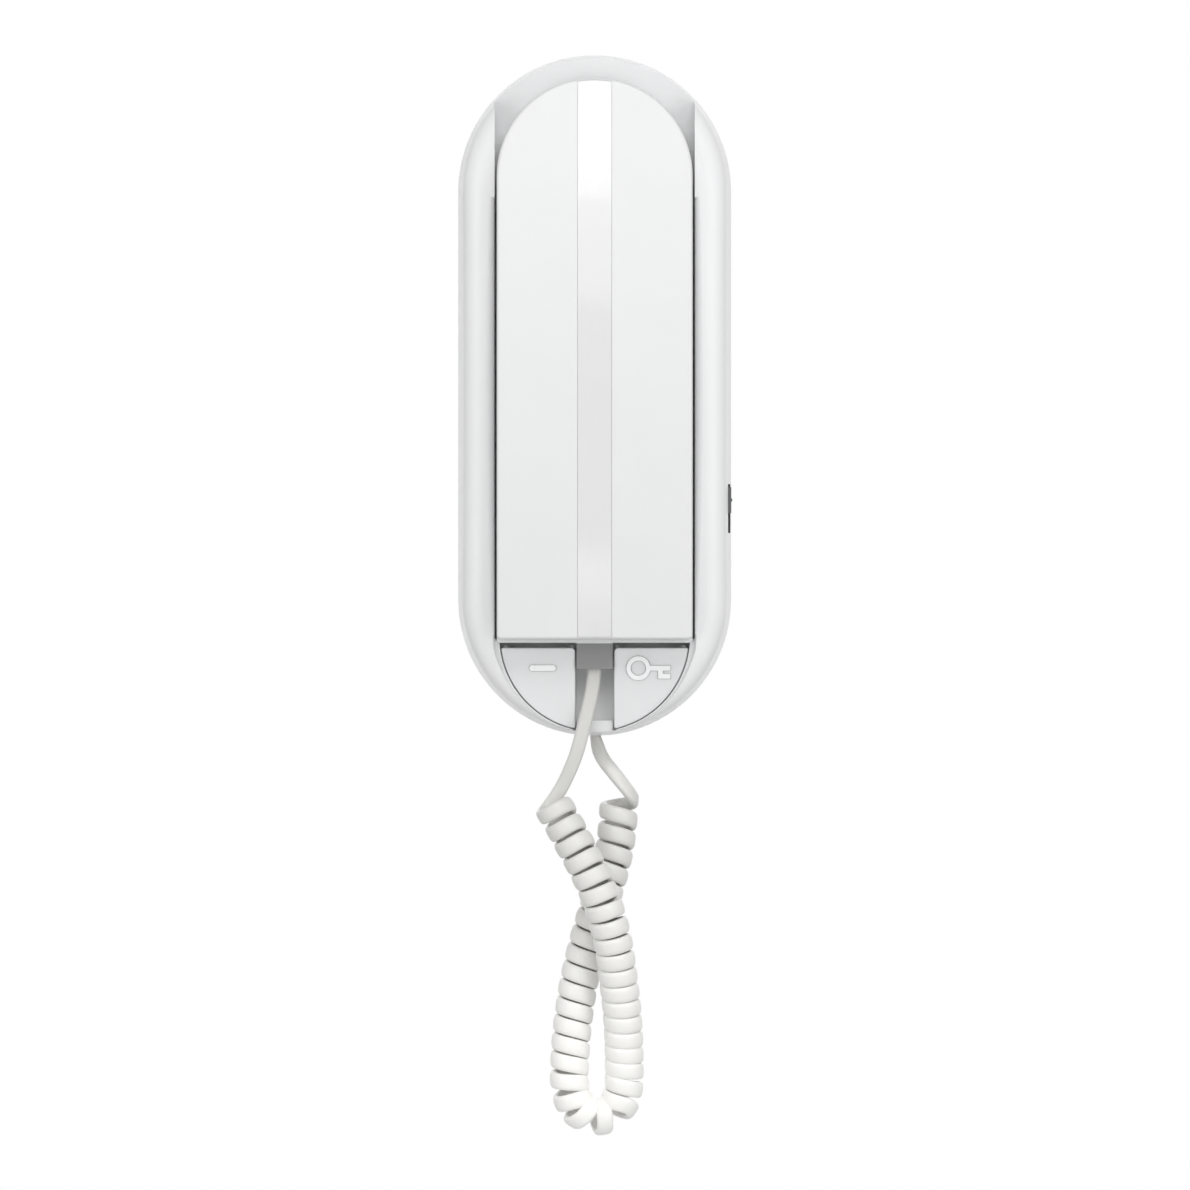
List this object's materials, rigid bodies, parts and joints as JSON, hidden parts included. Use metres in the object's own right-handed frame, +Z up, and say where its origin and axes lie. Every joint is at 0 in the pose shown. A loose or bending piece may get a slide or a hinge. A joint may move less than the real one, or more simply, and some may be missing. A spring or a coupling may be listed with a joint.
{
  "type": "audio intercom handset",
  "caption": "Wall-mounted audio intercom: handset resting on its base, two call keys, volume slider and curly cord.",
  "frame": {"origin": "middle of the base on the wall plane, halfway between the two wall screws", "axes": "+Z up, +X to the viewer's right, +Y into the wall"},
  "size_m": [0.0823, 0.0455, 0.3237],
  "materials": {
    "shell_plastic": "moulded, fine satin gloss",
    "strip_plastic": "polished",
    "rear_plastic": "moulded, satin",
    "base_plastic": "moulded, satin",
    "key_plastic": "moulded, satin",
    "knob_grey": "moulded, matt",
    "grey_plastic": "moulded",
    "black_plastic": "moulded",
    "terminal_grey": "moulded",
    "board_green": "solder mask",
    "zinc_steel": "zinc plated",
    "spring_steel": "rolled strip",
    "speaker_metal": "drawn cup",
    "ballast_iron": "plain",
    "gasket_rubber": "moulded",
    "clear_plastic": "clear moulded",
    "cord_white": "extruded sheath"
  },
  "bodies": {
    "base": {"rear_base": "base_plastic", "front_cover": "shell_plastic", "circuit_board": "board_green", "terminal_block": "terminal_grey", "terminal_screws": "zinc_steel", "jumper_header": "black_plastic", "ringer_speaker": "black_plastic", "hook_switch": "black_plastic", "hook_leaf": "spring_steel", "light_tact_switch": "black_plastic", "door_tact_switch": "black_plastic", "volume_switch": "black_plastic", "cover_screws": "zinc_steel", "base_cord_socket": "black_plastic", "base_cord_plug": "clear_plastic", "cord_coil": "cord_white", "cord_lead_base": "cord_white"},
    "handset": {"handset_front_shell": "shell_plastic", "handset_centre_strip": "strip_plastic", "handset_rear_shell": "rear_plastic", "earpiece_speaker": "speaker_metal", "earpiece_gasket": "gasket_rubber", "microphone_capsule": "speaker_metal", "microphone_boot": "gasket_rubber", "ballast_bar": "ballast_iron", "handset_screws": "zinc_steel", "handset_cord_socket": "black_plastic", "handset_cord_plug": "clear_plastic", "cord_lead_handset": "cord_white"},
    "hook_plunger": {"hook_plunger": "grey_plastic"},
    "light_button": {"light_button": "key_plastic"},
    "door_button": {"door_button": "key_plastic"},
    "light_tact_plunger": {"light_tact_plunger": "grey_plastic"},
    "door_tact_plunger": {"door_tact_plunger": "grey_plastic"},
    "volume_knob": {"volume_knob": "knob_grey"}
  },
  "joints": [
    {"name": "handset_lift", "type": "slide", "parent": "base", "child": "handset", "axis": [0, -1, 0], "range_m": [0, 0.025], "deforming": ["cord_lead_handset"]},
    {"name": "hook_plunger_out", "type": "slide", "parent": "base", "child": "hook_plunger", "axis": [0, -1, 0], "range_m": [0, 0.0022], "deforming": ["hook_leaf"]},
    {"name": "light_button_press", "type": "hinge", "parent": "base", "child": "light_button", "pos_m": [-0.015, -0.0204, -0.07945], "axis": [1, 0, 0], "range_deg": [0, 2.5], "stiffness_Nm_per_rad": 0.3, "springref_deg": -1.72},
    {"name": "door_button_press", "type": "hinge", "parent": "base", "child": "door_button", "pos_m": [0.015, -0.0204, -0.07945], "axis": [1, 0, 0], "range_deg": [0, 2.5], "stiffness_Nm_per_rad": 0.3, "springref_deg": -1.72},
    {"name": "light_tact_press", "type": "slide", "parent": "base", "child": "light_tact_plunger", "axis": [0, 1, 0], "range_m": [0, 0.0004]},
    {"name": "door_tact_press", "type": "slide", "parent": "base", "child": "door_tact_plunger", "axis": [0, 1, 0], "range_m": [0, 0.0004]},
    {"name": "volume_slide", "type": "slide", "parent": "base", "child": "volume_knob", "axis": [0, 0, -1], "range_m": [0, 0.0042]}
  ],
  "couplings": [
    {"joint": "hook_plunger_out", "follows": "handset_lift", "ratio": 0.088},
    {"joint": "light_tact_press", "follows": "light_button_press", "m_per_rad": 0.00855},
    {"joint": "door_tact_press", "follows": "door_button_press", "m_per_rad": 0.00855}
  ]
}
